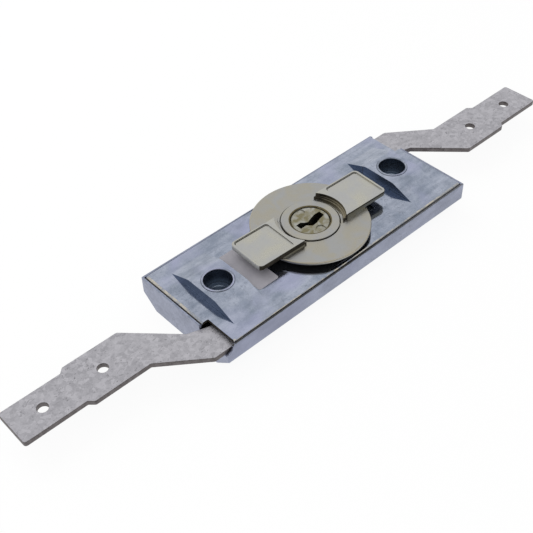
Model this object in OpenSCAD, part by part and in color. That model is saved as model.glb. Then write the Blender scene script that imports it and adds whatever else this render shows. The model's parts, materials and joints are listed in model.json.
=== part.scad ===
// Roller shutter lock: a shallow case with two cranked locking arms, thrown together by a
// winged turning disc that a key cylinder blocks or frees.
// Millimetres. X runs along the case, Z up from the flat back, the disc turns about Z.
// Shown at rest: arms drawn in, wings almost along X, cylinder unlocked.

/* [Case] */
// length of the case without the arms
case_length = 130; // [124:1:140]
// width of the case across the arms
case_width = 50; // [49:0.2:53]
// flat back to the top of the cover
case_depth = 14; // [13.4:0.1:15.4]
// cover sheet
cover_thickness = 1.2; // [1:0.1:1.3]
// back tray sheet
tray_thickness = 1; // [0.8:0.1:1.2]
// drop from the top of the cover to the tray's edge
wall_drop = 0.4; // [0.2:0.1:0.8]
// upright part of the tray's long sides
side_height = 7.8; // [7:0.1:8.6]
// width of the sloping shoulder along each long side
shoulder_width = 7; // [6:0.5:9]
// corner cut for each arm, along the case
notch_depth = 4; // [3:0.2:5]
// corner cut for each arm, across the case
notch_width = 15.5; // [14.6:0.1:16]
// gap between each arm and the tray's end lip under it
lip_gap = 0.7; // [0.3:0.1:1.6]

/* [Cover opening and bridges] */
// radius of the opening where the drive pins pass
opening_radius = 25.6; // [24.6:0.1:26.4]
// radius of the rest of the opening
opening_inner = 23.4; // [22.8:0.1:24]
// width of the cover left between the opening and each long side
opening_margin = 1.7; // [1:0.1:2.2]
// half length of the opening's side lobes
lobe_reach = 26.8; // [26.4:0.1:27.4]
// half width of the opening's side lobes
lobe_half = 9.7; // [8:0.1:11]
// length of each raised bridge along the case
bridge_length = 16; // [13.4:0.2:18]
// half span of each bridge, foot to foot
bridge_half_span = 18; // [16:0.2:20]
// half width of each bridge's flat top
bridge_half_top = 7.6; // [7:0.1:9]
// rise of the bridge top above the cover
bridge_rise = 4; // [3:0.1:5]
// distance of each fixing hole from its end of the case
fixing_inset = 17.2; // [13:0.1:19]
// radius of each fixing hole
fixing_hole_radius = 3.3; // [2.6:0.1:3.6]
// radius of the head recess over each fixing hole
head_recess_radius = 5.4; // [4.8:0.1:5.6]
// depth of the head recess below the bridge top
head_recess_depth = 6.5; // [4:0.5:8]
// outside radius of each fixing bush
bush_radius = 6; // [5.8:0.1:6.2]
// width of the rolled lip on top of each bush
bush_lip = 0.35; // [0.2:0.05:0.6]

/* [Disc and wings] */
// radius of the turning disc
disc_radius = 24; // [22:0.1:24.4]
// top of the disc above the cover
disc_rise = 3.3; // [3.2:0.1:3.6]
// thickness of the disc's thin rim
rim_thickness = 1.1; // [0.9:0.1:1.5]
// thickness of the disc over the drive pins
disc_thickness = 2.3; // [2:0.1:2.5]
// chamfer on the disc's top edge
disc_chamfer = 0.4; // [0.2:0.1:0.6]
// tip of each wing from the axis
wing_reach = 33.4; // [31:0.2:36]
// half width of each wing
wing_half = 9; // [8.6:0.1:10]
// radius of each wing's hollow inner end round the cylinder
wing_hollow_radius = 13.7; // [13.2:0.1:14.4]
// top of the wings above the disc
wing_rise = 2.7; // [2.3:0.1:3.1]
// gap between the wing tips' underside and the disc's top level
wing_lift = 0.3; // [0.2:0.1:0.6]
// depth of the recess in each wing's top
recess_depth = 0.5; // [0.3:0.1:0.8]
// recess's inner edge from the axis
recess_start = 15.6; // [15:0.1:16.4]
// width of the rim on both sides of the recess
recess_side = 0.7; // [0.5:0.05:1.2]
// width of the rim at the wing's tip
recess_tip = 1; // [0.6:0.05:1.6]

/* [Cylinder] */
// radius of the cylinder's flange ring
flange_radius = 11.7; // [11.4:0.1:11.9]
// flange top above the cover
flange_rise = 4; // [3.9:0.1:4.3]
// thickness of the flange ring
flange_thickness = 1.4; // [1.2:0.1:1.6]
// radius of the barrel that the disc turns on
barrel_radius = 9.95; // [9.7:0.05:10.1]
// radius of the key plug
plug_radius = 7.95; // [7.8:0.05:8]
// plug face below the flange top
plug_sink = 0.3; // [0.2:0.1:1]
// chamfer round the plug's face
plug_chamfer = 0.5; // [0.2:0.1:0.7]
// length of the key slot
keyway_length = 12.4; // [11.4:0.1:12.6]
// width of each leg of the key slot
keyway_width = 2.6; // [2.1:0.1:2.8]
// radius of the two round dimples in the plug face
dimple_radius = 1.9; // [1.4:0.1:2.2]
// depth of the two dimples
dimple_depth = 0.4; // [0.2:0.1:0.6]
// thickness of each wafer
wafer_thickness = 0.8; // [0.6:0.05:0.9]
// distance from wafer to wafer
wafer_pitch = 1.7; // [1.5:0.05:1.8]
// radius of the locking pin
lock_pin_radius = 1.2; // [1:0.05:1.3]
// travel of the locking pin
lock_pin_travel = 1.4; // [1:0.1:1.5]

/* [Arms and drive] */
// thickness of the arms
arm_thickness = 2.2; // [1.8:0.1:2.4]
// tip of each arm from the axis
arm_reach = 137.65; // [132:0.05:142]
// half width of the narrow tip
tip_half = 8.25; // [7.5:0.05:8.8]
// half width of the wide outer part
wide_half = 10.15; // [9.4:0.05:10.8]
// length of the narrow tip
tip_length = 25.75; // [24:0.05:29]
// length of the crank, along the arm
crank_length = 17.8; // [15:0.1:20]
// gap between the case's end and the crank
crank_gap = 4.8; // [4:0.1:7.5]
// inner edge of the sliding strip inside the case
strip_inner = 10.9; // [10.8:0.05:11.3]
// radius of the rod holes
rod_hole_radius = 2.05; // [1.8:0.05:2.6]
// distance between the two rod holes
rod_hole_spacing = 24.5; // [20:0.5:25]
// distance of the outer rod hole from the arm's tip
rod_hole_inset = 12.4; // [9:0.1:14]
// circle on which the drive pins sit
pin_circle = 17.5; // [17:0.1:17.8]
// radius of the drive pins
drive_pin_radius = 2.5; // [2.2:0.1:2.6]
// thickness of the plate that the arms slide on
slide_plate_thickness = 1.5; // [1.2:0.1:1.8]
// thickness of the dust shield
shield_thickness = 0.8; // [0.6:0.1:0.9]
// length of the sticker
sticker_length = 23.7; // [20:0.1:26]
// width of the sticker
sticker_width = 10; // [8:0.2:10.8]

/* [Hidden] */
$fn = 96;

// play between parts that stay still next to each other
fit_play = 0.02;
// play of a round part that turns or slides in a hole
run_play = 0.05;
// play between flat sliding faces
slide_play = 0.1;
// side play of the arms in the case
side_play = 0.3;
// play round the plate that the arms slide on
plate_play = 0.2;
// overlap of two shapes that make one piece
joining = 0.1;
// arm travel per radian of turn, as a share of the pin circle
drive_ratio = 0.925;
// how far an arm strays from its pin's path, as a share of the pin circle
drive_stray = 0.0196;

half_l = case_length / 2;
half_w = case_width / 2;
step_at = arm_reach - tip_length;
crank_end = half_l + crank_gap;
crank_start = crank_end + crank_length;
crank_inner = 8;
rod_hole_at = arm_reach - rod_hole_inset;
cover_bottom = case_depth - cover_thickness;
wall_top = case_depth - wall_drop;
kink_z = wall_top - side_height;
inner_half_w = half_w - tray_thickness;
cover_half_w = inner_half_w - fit_play;
cover_half_l = half_l - tray_thickness - fit_play;
opening_flat = cover_half_w - opening_margin;
shield_bottom = cover_bottom - shield_thickness;
arm_top = shield_bottom - 2 * slide_play;
arm_bottom = arm_top - arm_thickness;
plate_top = arm_bottom - slide_play;
lip_height = arm_bottom - lip_gap;
plate_bottom = plate_top - slide_plate_thickness;
bridge_top = case_depth + bridge_rise;
fixing_x = half_l - fixing_inset;
strip_outer = inner_half_w - side_play;
disc_top = case_depth + disc_rise;
disc_bottom = disc_top - disc_thickness;
hub_bottom = cover_bottom + run_play;
hub_radius = 13.2;
wing_root = 5;
wing_corner = 2;
wing_turn = -2;
neck_inset = 0.2;
recess_corner = 1.3;
hollow_step = 1.2;
disc_bore = barrel_radius + run_play;
flange_top = case_depth + flange_rise;
wing_inner_radius = flange_radius + 0.8;
flange_bottom = flange_top - flange_thickness;
flange_chamfer = 0.3;
washer_thickness = 0.4;
seat_z = flange_bottom - washer_thickness - 2 * run_play;
plug_bore = plug_radius + run_play;
plug_top = flange_top - plug_sink;
plug_bottom = tray_thickness + 1;
clip_thickness = 0.6;
clip_opening = 10;
clip_radius = plug_radius + 1;
clip_z = plug_bottom + 0.4;
clip_groove_radius = plug_radius - 0.8;
bore_bottom = clip_z + clip_thickness + slide_play;
shoulder_radius = strip_inner - 0.4;
foot_radius = 12;
foot_height = 3;
foot_screw_x = 14.5;
foot_end = 4.5;
screw_radius = 1.5;
screw_head_radius = 2.8;
screw_length = 3.6;
screw_head_height = 1.3;
screw_slot_width = 0.6;
screw_slot_length = 2.4;
screw_slot_depth = 0.75;
lock_pin_z = (hub_bottom + seat_z) / 2;
lock_pin_length = 3.4;
lock_pin_inner = disc_bore - run_play - lock_pin_length;
cam_low = lock_pin_inner - run_play;
cam_half = lock_pin_radius + 0.2;
pin_spigot = drive_pin_radius - 0.5;
pin_bottom = arm_bottom + slide_play;
spigot_top = disc_top - 0.7;
fork_x = pin_circle * drive_ratio * PI / 4;
fork_half = drive_pin_radius + pin_circle * drive_stray + run_play;
fork_depth = pin_circle + drive_pin_radius + side_play;
fork_wall = 2.8;
strip_end = fork_x + fork_half + fork_wall;
arm_corner = 1.2;
slot_half = drive_pin_radius + side_play;
slot_end_radius = slot_half - run_play;
shield_margin = 6.2;
shield_half_x = lobe_reach + shield_margin;
shield_half_y = inner_half_w - side_play;
stud_inset = 4;
stud_x = shield_half_x - stud_inset;
stud_radius = 1.5;
stud_spigot = 1;
stud_y = strip_inner - stud_radius - 0.2;
bush_foot_radius = bush_radius + 1.2;
bush_spigot = bush_radius - 1;
bush_lip_height = 0.3;
ring_chamfer = 0.2;
dimple_y = plug_radius - dimple_radius + 0.1;
keyway_reach = 1.14 * keyway_width;
wafer_half = keyway_reach + 1.2;
wafer_window_half = keyway_length / 2 + 0.35;
wafer_first = bore_bottom + 0.8;
wafer_count = 4;
sticker_gap = 1.8;
sticker_x = bridge_length / 2 + sticker_gap + sticker_width / 2 - fixing_x;
sticker_thickness = 0.08;

module rounded_box(x0, x1, y0, y1, r, z0, z1) {
    translate([0, 0, z0]) linear_extrude(z1 - z0) {
        translate([x0 + r, y0]) square([x1 - x0 - 2 * r, y1 - y0]);
        translate([x0, y0 + r]) square([x1 - x0, y1 - y0 - 2 * r]);
        for (x = [x0 + r, x1 - r], y = [y0 + r, y1 - r]) translate([x, y]) circle(r);
    }
}

module rod(r, z0, z1, at = [0, 0]) {
    translate([at[0], at[1], z0]) cylinder(h = z1 - z0, r = r);
}

// Both ends of the case are the same, turned half round.
module both_ends() {
    for (turn = [0, 180]) rotate(turn) children();
}

module cover_outline() {
    difference() {
        square([2 * cover_half_l, 2 * cover_half_w], center = true);
        both_ends() translate([-half_l - 1, -half_w - 1])
            square([notch_depth + 1, notch_width + 1]);
    }
}

// Wider in the two quarters in which the drive pins travel.
module opening() {
    intersection() {
        union() {
            circle(opening_inner);
            both_ends() intersection() {
                circle(opening_radius);
                square(2 * opening_radius);
            }
        }
        square([2 * opening_radius, 2 * opening_flat], center = true);
    }
    square([2 * lobe_reach, 2 * lobe_half], center = true);
}

// The roof of a bridge; both feet run on into the sheet.
module bridge_section() {
    foot = bridge_half_span;
    top = bridge_half_top;
    inset = cover_thickness * 0.35;
    polygon([
        [-foot - 1, cover_bottom], [-foot - 1, case_depth], [-foot, case_depth], [-top, bridge_top],
        [top, bridge_top], [foot, case_depth], [foot + 1, case_depth], [foot + 1, cover_bottom],
        [foot - inset, cover_bottom], [top - inset, bridge_top - cover_thickness],
        [inset - top, bridge_top - cover_thickness], [inset - foot, cover_bottom]
    ]);
}

// The upright wall that closes each end of a bridge.
module bridge_end() {
    foot = bridge_half_span;
    top = bridge_half_top;
    polygon([
        [-foot, cover_bottom], [-foot, case_depth], [-top, bridge_top], [top, bridge_top],
        [foot, case_depth], [foot, cover_bottom]
    ]);
}

module cover_plate() {
    inside = bridge_length - 2 * cover_thickness;
    color([0.62, 0.66, 0.73]) difference() {
        union() {
            translate([0, 0, cover_bottom]) linear_extrude(cover_thickness) difference() {
                cover_outline();
                opening();
                both_ends() translate([fixing_x - inside / 2, -bridge_half_span])
                    square([inside, 2 * bridge_half_span]);
            }
            both_ends() translate([fixing_x - bridge_length / 2, 0, 0]) rotate([90, 0, 90]) {
                linear_extrude(bridge_length) bridge_section();
                for (x = [0, bridge_length - cover_thickness])
                    translate([0, 0, x]) linear_extrude(cover_thickness) bridge_end();
            }
        }
        both_ends() rod(bush_radius + fit_play, cover_bottom, bridge_top + 1, [fixing_x, 0]);
    }
}

module tray_section(inset) {
    lean = shoulder_width / sqrt(shoulder_width * shoulder_width + kink_z * kink_z);
    w = half_w - inset;
    kink = kink_z + inset / lean - inset * kink_z / shoulder_width;
    foot = w - (kink - inset) * shoulder_width / kink_z;
    top = inset > 0 ? wall_top + 1 : wall_top;
    polygon([[w, top], [w, kink], [foot, inset], [-foot, inset], [-w, kink], [-w, top]]);
}

// What is cut off each long side's end beside an arm: a steep edge on a quarter of an ellipse.
module wall_end_cut() {
    top = -half_l + notch_depth - 0.5;
    low = top + 0.8;
    curve_z = (wall_top + kink_z) / 2 + 0.2;
    reach = low + half_l;
    polygon([
        [-half_l - 1, kink_z + 0.3], [-half_l, kink_z + 0.3], [-half_l, curve_z], [low, curve_z],
        [top, wall_top], [top, wall_top + 1], [-half_l - 1, wall_top + 1]
    ]);
    intersection() {
        translate([-half_l, curve_z]) scale([reach, curve_z - kink_z - 0.3]) circle(1);
        translate([-half_l - 1, kink_z]) square([reach + 1, curve_z - kink_z + joining]);
    }
}

module case_back() {
    color([0.58, 0.6, 0.7]) difference() {
        translate([-half_l, 0, 0]) rotate([90, 0, 90]) linear_extrude(case_length) tray_section(0);
        translate([tray_thickness - half_l, 0, 0]) rotate([90, 0, 90])
            linear_extrude(case_length - 2 * tray_thickness) tray_section(tray_thickness);
        both_ends() {
            translate([-half_l - 1, -half_w - 1, lip_height])
                cube([1 + tray_thickness, notch_width + 1, case_depth]);
            translate([0, -inner_half_w + joining, 0]) rotate([90, 0, 0])
                linear_extrude(tray_thickness + 1) wall_end_cut();
            rod(bush_spigot + fit_play, -1, tray_thickness + 1, [fixing_x, 0]);
            screw_solid(fit_play);
        }
    }
}

// A countersunk screw, or with some play the hole that it sits in.
module screw_solid(play) {
    translate([foot_screw_x, 0, -play]) {
        cylinder(h = screw_head_height + 2 * play, r1 = screw_head_radius + 3 * play,
            r2 = screw_radius + play);
        cylinder(h = screw_length + 2 * play, r = screw_radius + play);
    }
}

module cylinder_screws() {
    color([0.75, 0.75, 0.72]) both_ends() difference() {
        screw_solid(0);
        for (turn = [0, 90]) translate([foot_screw_x, 0, 0]) rotate(turn)
            cube([screw_slot_width, screw_slot_length, 2 * screw_slot_depth], center = true);
    }
}

module slide_plate() {
    half_x = half_l - notch_depth - 2 * plate_play;
    half_y = inner_half_w - plate_play;
    color([0.6, 0.62, 0.66]) difference() {
        translate([-half_x, -half_y, plate_bottom])
            cube([2 * half_x, 2 * half_y, slide_plate_thickness]);
        rod(shoulder_radius + fit_play, plate_bottom - 1, plate_top + 1);
        both_ends() {
            rod(bush_radius + fit_play, plate_bottom - 1, plate_top + 1, [fixing_x, 0]);
            for (x = [-stud_x, stud_x])
                rod(stud_spigot + fit_play, plate_bottom - 1, plate_top + 1, [x, stud_y]);
        }
    }
}

module quarter_slot() {
    far = 2 * pin_circle;
    difference() {
        circle(pin_circle + slot_half);
        circle(pin_circle - slot_half);
        polygon([[0, 0], [far, far], [far, -far]]);
        polygon([[0, 0], [-far, far], [-far, -far]]);
        polygon([[0, 0], [far, far], [-far, far]]);
    }
    for (a = [-45, -135]) rotate(a) translate([pin_circle, 0]) circle(slot_end_radius);
}

module dust_shield() {
    color([0.06, 0.06, 0.07]) translate([0, 0, shield_bottom])
        linear_extrude(shield_thickness) difference() {
            square([2 * shield_half_x, 2 * shield_half_y], center = true);
            circle(barrel_radius + fit_play);
            both_ends() {
                quarter_slot();
                for (x = [-stud_x, stud_x]) translate([x, stud_y]) circle(stud_spigot + fit_play);
            }
        }
}

module guide_studs() {
    color([0.66, 0.66, 0.66]) both_ends() for (x = [-stud_x, stud_x]) {
        rod(stud_radius, plate_top, shield_bottom, [x, stud_y]);
        rod(stud_spigot, plate_bottom, cover_bottom, [x, stud_y]);
    }
}

module fixing_bush() {
    difference() {
        union() {
            rod(bush_spigot, 0, tray_thickness + joining, [fixing_x, 0]);
            rod(bush_foot_radius, tray_thickness, plate_bottom, [fixing_x, 0]);
            rod(bush_radius, plate_bottom - joining, bridge_top, [fixing_x, 0]);
            translate([fixing_x, 0, bridge_top])
                cylinder(h = bush_lip_height, r1 = bush_radius + bush_lip, r2 = bush_radius - 0.1);
        }
        rod(fixing_hole_radius, -1, bridge_top, [fixing_x, 0]);
        rod(head_recess_radius, bridge_top - head_recess_depth, bridge_top + 1, [fixing_x, 0]);
    }
}

module fixing_bush_right() {
    color([0.7, 0.72, 0.76]) fixing_bush();
}

module fixing_bush_left() {
    color([0.7, 0.72, 0.76]) rotate(180) fixing_bush();
}

module sticker() {
    color([0.66, 0.64, 0.63]) rounded_box(
        sticker_x - sticker_width / 2, sticker_x + sticker_width / 2,
        -sticker_length / 2, sticker_length / 2, 1, case_depth, case_depth + sticker_thickness);
}

module wing() {
    wing_top = disc_top + wing_rise;
    difference() {
        union() {
            rounded_box(wing_root, wing_reach, -wing_half, wing_half, wing_corner,
                disc_top + wing_lift, wing_top);
            intersection() {
                rounded_box(wing_root, wing_reach, -wing_half, wing_half, wing_corner,
                    disc_top - disc_chamfer - joining, wing_top - joining);
                rod(disc_radius - disc_chamfer - neck_inset, disc_bottom, wing_top);
            }
        }
        rounded_box(recess_start, wing_reach - recess_tip, recess_side - wing_half,
            wing_half - recess_side, recess_corner, wing_top - recess_depth, wing_top + 1);
        rod(wing_hollow_radius, disc_top + hollow_step, wing_top + 1);
        rod(wing_inner_radius, disc_bottom, wing_top + 1);
    }
}

module turn_disc() {
    color([0.7, 0.7, 0.66]) difference() {
        union() {
            rod(disc_radius, disc_top - rim_thickness, disc_top - disc_chamfer);
            translate([0, 0, disc_top - disc_chamfer])
                cylinder(h = disc_chamfer, r1 = disc_radius, r2 = disc_radius - disc_chamfer);
            rod(pin_circle + drive_pin_radius + 1.2, disc_bottom, disc_top - disc_chamfer);
            rod(hub_radius, hub_bottom, disc_top - disc_chamfer);
            both_ends() rotate(wing_turn) wing();
        }
        rod(disc_bore, hub_bottom - 1, disc_top + 1);
        rod(flange_radius + 0.3, seat_z, disc_top + 1);
        for (a = [-45, 135]) rotate(a)
            rod(pin_spigot + fit_play, disc_bottom - 1, spigot_top + run_play, [pin_circle, 0]);
        for (a = [90, 180]) rotate(a) translate([barrel_radius - 1, 0, lock_pin_z]) rotate([0, 90, 0])
            cylinder(h = 1 + lock_pin_travel + 0.3, r = lock_pin_radius + 0.1);
    }
}

module drive_pin() {
    rod(drive_pin_radius, pin_bottom, disc_bottom, [pin_circle, 0]);
    rod(pin_spigot, disc_bottom - joining, spigot_top, [pin_circle, 0]);
}

module drive_pin_left() {
    color([0.6, 0.6, 0.6]) rotate(-45) drive_pin();
}

module drive_pin_right() {
    color([0.6, 0.6, 0.6]) rotate(135) drive_pin();
}

module friction_washer() {
    color([0.72, 0.58, 0.3]) difference() {
        rod(flange_radius, seat_z + run_play, flange_bottom - run_play);
        rod(barrel_radius + run_play, seat_z - 1, flange_bottom + 1);
    }
}

module cylinder_body() {
    color([0.74, 0.73, 0.68]) difference() {
        union() {
            rod(flange_radius, flange_bottom, flange_top - flange_chamfer);
            translate([0, 0, flange_top - flange_chamfer])
                cylinder(h = flange_chamfer, r1 = flange_radius, r2 = flange_radius - flange_chamfer);
            rod(barrel_radius, plate_bottom, flange_top - flange_chamfer);
            rod(shoulder_radius, plate_bottom - joining, shield_bottom);
            rod(foot_radius, tray_thickness, plate_bottom);
            rounded_box(-foot_screw_x - foot_end, foot_screw_x + foot_end, -foot_end, foot_end,
                foot_end - joining, tray_thickness, tray_thickness + foot_height);
        }
        rod(plug_bore, bore_bottom - joining, flange_top + 1);
        translate([0, 0, flange_top - ring_chamfer])
            cylinder(h = 2 * ring_chamfer, r1 = plug_bore, r2 = plug_bore + 2 * ring_chamfer);
        rod(clip_radius + side_play, tray_thickness - 1, bore_bottom);
        translate([0, 0, lock_pin_z]) rotate([-90, 0, 0])
            cylinder(h = barrel_radius + 2, r = lock_pin_radius + run_play);
        both_ends() screw_solid(fit_play);
    }
}

// Two offset legs joined by a wide slanting middle.
module keyway() {
    a = keyway_length / 2;
    w = keyway_width;
    polygon([
        [-a, 0.6 * w], [0.1 - a, -0.42 * w], [-0.53 * a, -0.42 * w], [-0.24 * a, -keyway_reach],
        [0.12 * a, -1.08 * w], [0.55 * a, -0.75 * w], [a, -0.57 * w], [a, 0.48 * w],
        [0.56 * a, 0.5 * w], [0.17 * a, 0.26 * w], [-0.22 * a, -0.1 * w], [-0.44 * a, 0.22 * w],
        [-0.62 * a, 0.63 * w]
    ]);
}

// The cam grows evenly over a quarter turn, so the pin moves in step with the key.
module cam_cut() {
    steps = 24;
    from = -6;
    to = 102;
    far = plug_radius + 1;
    translate([0, 0, lock_pin_z - cam_half]) linear_extrude(2 * cam_half) polygon(concat(
        [for (i = [0 : steps]) let (a = from + (to - from) * i / steps)
            (cam_low + lock_pin_travel * min(1, max(0, (90 - a) / 90))) * [cos(a), sin(a)]],
        [for (i = [steps : -1 : 0]) let (a = from + (to - from) * i / steps) far * [cos(a), sin(a)]]
    ));
}

module key_plug() {
    color([0.78, 0.74, 0.62]) difference() {
        union() {
            rod(plug_radius, plug_bottom, plug_top - plug_chamfer);
            translate([0, 0, plug_top - plug_chamfer])
                cylinder(h = plug_chamfer, r1 = plug_radius, r2 = plug_radius - plug_chamfer);
        }
        translate([0, 0, plug_bottom - 1]) linear_extrude(case_depth + bridge_rise) keyway();
        difference() {
            rod(plug_radius + 1, clip_z - run_play, clip_z + clip_thickness + run_play);
            rod(clip_groove_radius, plug_bottom, bore_bottom);
        }
        for (i = [0 : wafer_count - 1])
            translate([-plug_radius - 1, -wafer_half - 0.1, wafer_first + i * wafer_pitch - 0.05])
                cube([2 * plug_radius + 2, 2 * wafer_half + 0.2, wafer_thickness + 0.1]);
        cam_cut();
        both_ends() rod(dimple_radius, plug_top - dimple_depth, plug_top + 1, [0.3, dimple_y]);
    }
}

module wafers() {
    color([0.8, 0.66, 0.35]) for (i = [0 : wafer_count - 1])
        translate([0, 0, wafer_first + i * wafer_pitch]) linear_extrude(wafer_thickness) difference() {
            intersection() {
                circle(plug_radius - 0.05);
                square([2 * plug_radius, 2 * wafer_half], center = true);
            }
            square([2 * wafer_window_half, 2 * wafer_half - 2], center = true);
        }
}

module plug_clip() {
    color([0.5, 0.5, 0.52]) translate([0, 0, clip_z]) linear_extrude(clip_thickness) difference() {
        circle(clip_radius);
        circle(clip_groove_radius + fit_play);
        translate([0, -clip_opening / 2]) square([clip_radius + 1, clip_opening]);
    }
}

module locking_pin() {
    tip = lock_pin_radius * 0.6;
    color([0.7, 0.7, 0.7]) translate([0, lock_pin_inner, lock_pin_z]) rotate([-90, 0, 0]) {
        cylinder(h = tip, r1 = lock_pin_radius * 0.35, r2 = lock_pin_radius);
        translate([0, 0, tip]) cylinder(h = lock_pin_length - 2 * tip, r = lock_pin_radius);
        translate([0, 0, lock_pin_length - tip])
            cylinder(h = tip, r1 = lock_pin_radius, r2 = lock_pin_radius * 0.5);
    }
}

// The left arm: a straight outer bar, a crank, and a sliding strip with an open fork.
module arm() {
    bend = step_at + 1;
    difference() {
        translate([0, 0, arm_bottom]) linear_extrude(arm_thickness) {
            offset(r = arm_corner) offset(delta = -arm_corner) polygon([
                [-arm_reach, tip_half], [-bend, tip_half], [2 - bend, wide_half],
                [-crank_start, wide_half], [-crank_end, -crank_inner], [-half_l + notch_depth, -strip_inner],
                [strip_end, -strip_inner], [strip_end, -strip_outer], [-crank_end, -strip_outer],
                [-crank_start, -wide_half], [2 - bend, -wide_half], [-bend, -tip_half],
                [-arm_reach, -tip_half]
            ]);
        }
        for (x = [rod_hole_at, rod_hole_at - rod_hole_spacing])
            rod(rod_hole_radius, arm_bottom - 1, arm_top + 1, [-x, 0]);
        translate([fork_x - fork_half, -fork_depth, arm_bottom - 1])
            cube([2 * fork_half, fork_depth - strip_inner + 1, arm_thickness + 2]);
    }
}

module left_arm() {
    color([0.7, 0.7, 0.71]) arm();
}

module right_arm() {
    color([0.7, 0.7, 0.71]) rotate(180) arm();
}

cover_plate();
case_back();
slide_plate();
dust_shield();
fixing_bush_left();
fixing_bush_right();
guide_studs();
sticker();
turn_disc();
drive_pin_left();
drive_pin_right();
friction_washer();
cylinder_body();
cylinder_screws();
key_plug();
wafers();
plug_clip();
locking_pin();
left_arm();
right_arm();
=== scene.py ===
"""Roller shutter lock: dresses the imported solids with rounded, plated and galvanised metal.

The constants, the pens and the tables are in millimetres, and everything else is in metres.
X runs along the case, Z out of the cover, and the disc turns about Z.
"""

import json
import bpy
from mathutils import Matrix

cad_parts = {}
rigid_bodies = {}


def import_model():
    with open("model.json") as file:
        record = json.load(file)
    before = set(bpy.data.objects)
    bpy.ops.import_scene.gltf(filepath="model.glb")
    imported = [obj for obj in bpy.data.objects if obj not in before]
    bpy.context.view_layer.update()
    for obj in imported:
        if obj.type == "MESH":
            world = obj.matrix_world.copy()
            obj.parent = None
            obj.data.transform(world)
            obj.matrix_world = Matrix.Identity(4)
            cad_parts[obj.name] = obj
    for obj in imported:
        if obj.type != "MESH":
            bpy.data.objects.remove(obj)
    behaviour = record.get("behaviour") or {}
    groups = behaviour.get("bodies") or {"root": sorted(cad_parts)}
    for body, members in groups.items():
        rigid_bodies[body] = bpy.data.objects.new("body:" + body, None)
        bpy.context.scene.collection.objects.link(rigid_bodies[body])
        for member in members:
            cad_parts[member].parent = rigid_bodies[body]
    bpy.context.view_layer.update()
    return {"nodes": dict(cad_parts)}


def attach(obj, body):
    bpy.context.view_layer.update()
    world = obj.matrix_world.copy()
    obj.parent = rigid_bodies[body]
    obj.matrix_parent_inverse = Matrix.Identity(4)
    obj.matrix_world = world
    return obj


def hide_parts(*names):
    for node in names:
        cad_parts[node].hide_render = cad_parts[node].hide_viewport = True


bl_info = {
    "name": "Roller shutter lock",
    "version": (1, 0, 0),
    "blender": (4, 5, 0),
    "location": "View3D > Sidebar > Shutter lock",
    "description": "Builds the looks of a roller shutter lock on its packed solids",
    "category": "Add Mesh",
}

from math import asin, atan2, cos, degrees, hypot, pi, radians, sin, sqrt, tan

import bmesh
import bpy
from mathutils import Matrix, Vector

for left_over in list(bpy.data.objects):
    bpy.data.objects.remove(left_over)
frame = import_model()

MM = 0.001
SLACK = 0.01

# The cover and its bridges
COVER_TOP = 14.0
COVER_HALF = (63.98, 23.98)
NOTCH = (61.0, 9.5)
FIXING_X = 47.8
BRIDGE_TOP = 18.0
BRIDGE_HALF = 8.0
BRIDGE_FOOT = 18.0
BRIDGE_FLAT = 7.6
BRIDGE_SLOPE = atan2(BRIDGE_TOP - COVER_TOP, BRIDGE_FOOT - BRIDGE_FLAT)
BUSH_HOLE = 6.37
DARK_LINE_Y = 9.0

# The tray
TRAY_TOP = 13.6
TRAY_HALF = (65.0, 25.0)
TRAY_FLAT_HALF = 17.7
SHOULDER_TOP = 5.8

# The disc, its wings with their hollow inner ends, and the cylinder's flange
DISC_TOP = 17.3
FLANGE_TOP = 18.0
WING_TOP = 20.0
WING_TURN = radians(-2)
WING_MIDDLE = 24.5
RECESS_FLOOR = 19.5
RECESS_SIDE = 6.5
HOLLOW_RADIUS = 13.7
HOLLOW_END = 14.5
HOLLOW_HALF = 7.7
HOLLOW_OUT = 0.6
FOOT_RADIUS = 12.5
FOOT_OUT = 0.5
CORNER_OUT = 0.9
# Heights above which the wings' outer walls get painted shade, left and right, and the reach inside
# which they get it all the way down
PAINTED_SHADE_FROM = {-1: 17.8, 1: 19.2}
PAINTED_SHADE_END = 11.3


# Settings that a user would change


class CaseSettings(bpy.types.PropertyGroup):
    """Sizes and colours of the case."""

    rim_round: bpy.props.FloatProperty(
        name="Rim rounding", description="Rounding of the cover's outer edge",
        default=1.0 * MM, min=0.0, unit="LENGTH", precision=5)
    cut_round: bpy.props.FloatProperty(
        name="Cut edge rounding", description="Rounding of punched edges",
        default=0.2 * MM, min=0.0, unit="LENGTH", precision=5)
    bend_radius: bpy.props.FloatProperty(
        name="Bend radius", description="Radius of the bends of the raised bridges",
        default=3.0 * MM, min=0.0, unit="LENGTH", precision=5)
    sheet: bpy.props.FloatProperty(
        name="Sheet thickness", description="Thickness of the cover sheet",
        default=1.2 * MM, min=0.0, unit="LENGTH", precision=5)
    light: bpy.props.FloatVectorProperty(
        name="Light zinc", description="Light patches of the zinc plating", subtype="COLOR",
        default=(0.395, 0.427, 0.51))
    dark: bpy.props.FloatVectorProperty(
        name="Dark zinc", description="Dark patches of the zinc plating", subtype="COLOR",
        default=(0.24, 0.275, 0.345))
    # Light beige of the cover's worn edge, also used as a painted highlight
    worn: bpy.props.FloatVectorProperty(
        name="Worn edge", description="Worn edges of the cover", subtype="COLOR",
        default=(0.56, 0.52, 0.44))
    tray: bpy.props.FloatVectorProperty(
        name="Tray", description="Zinc plating of the tray", subtype="COLOR",
        default=(0.31, 0.335, 0.43))


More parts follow.
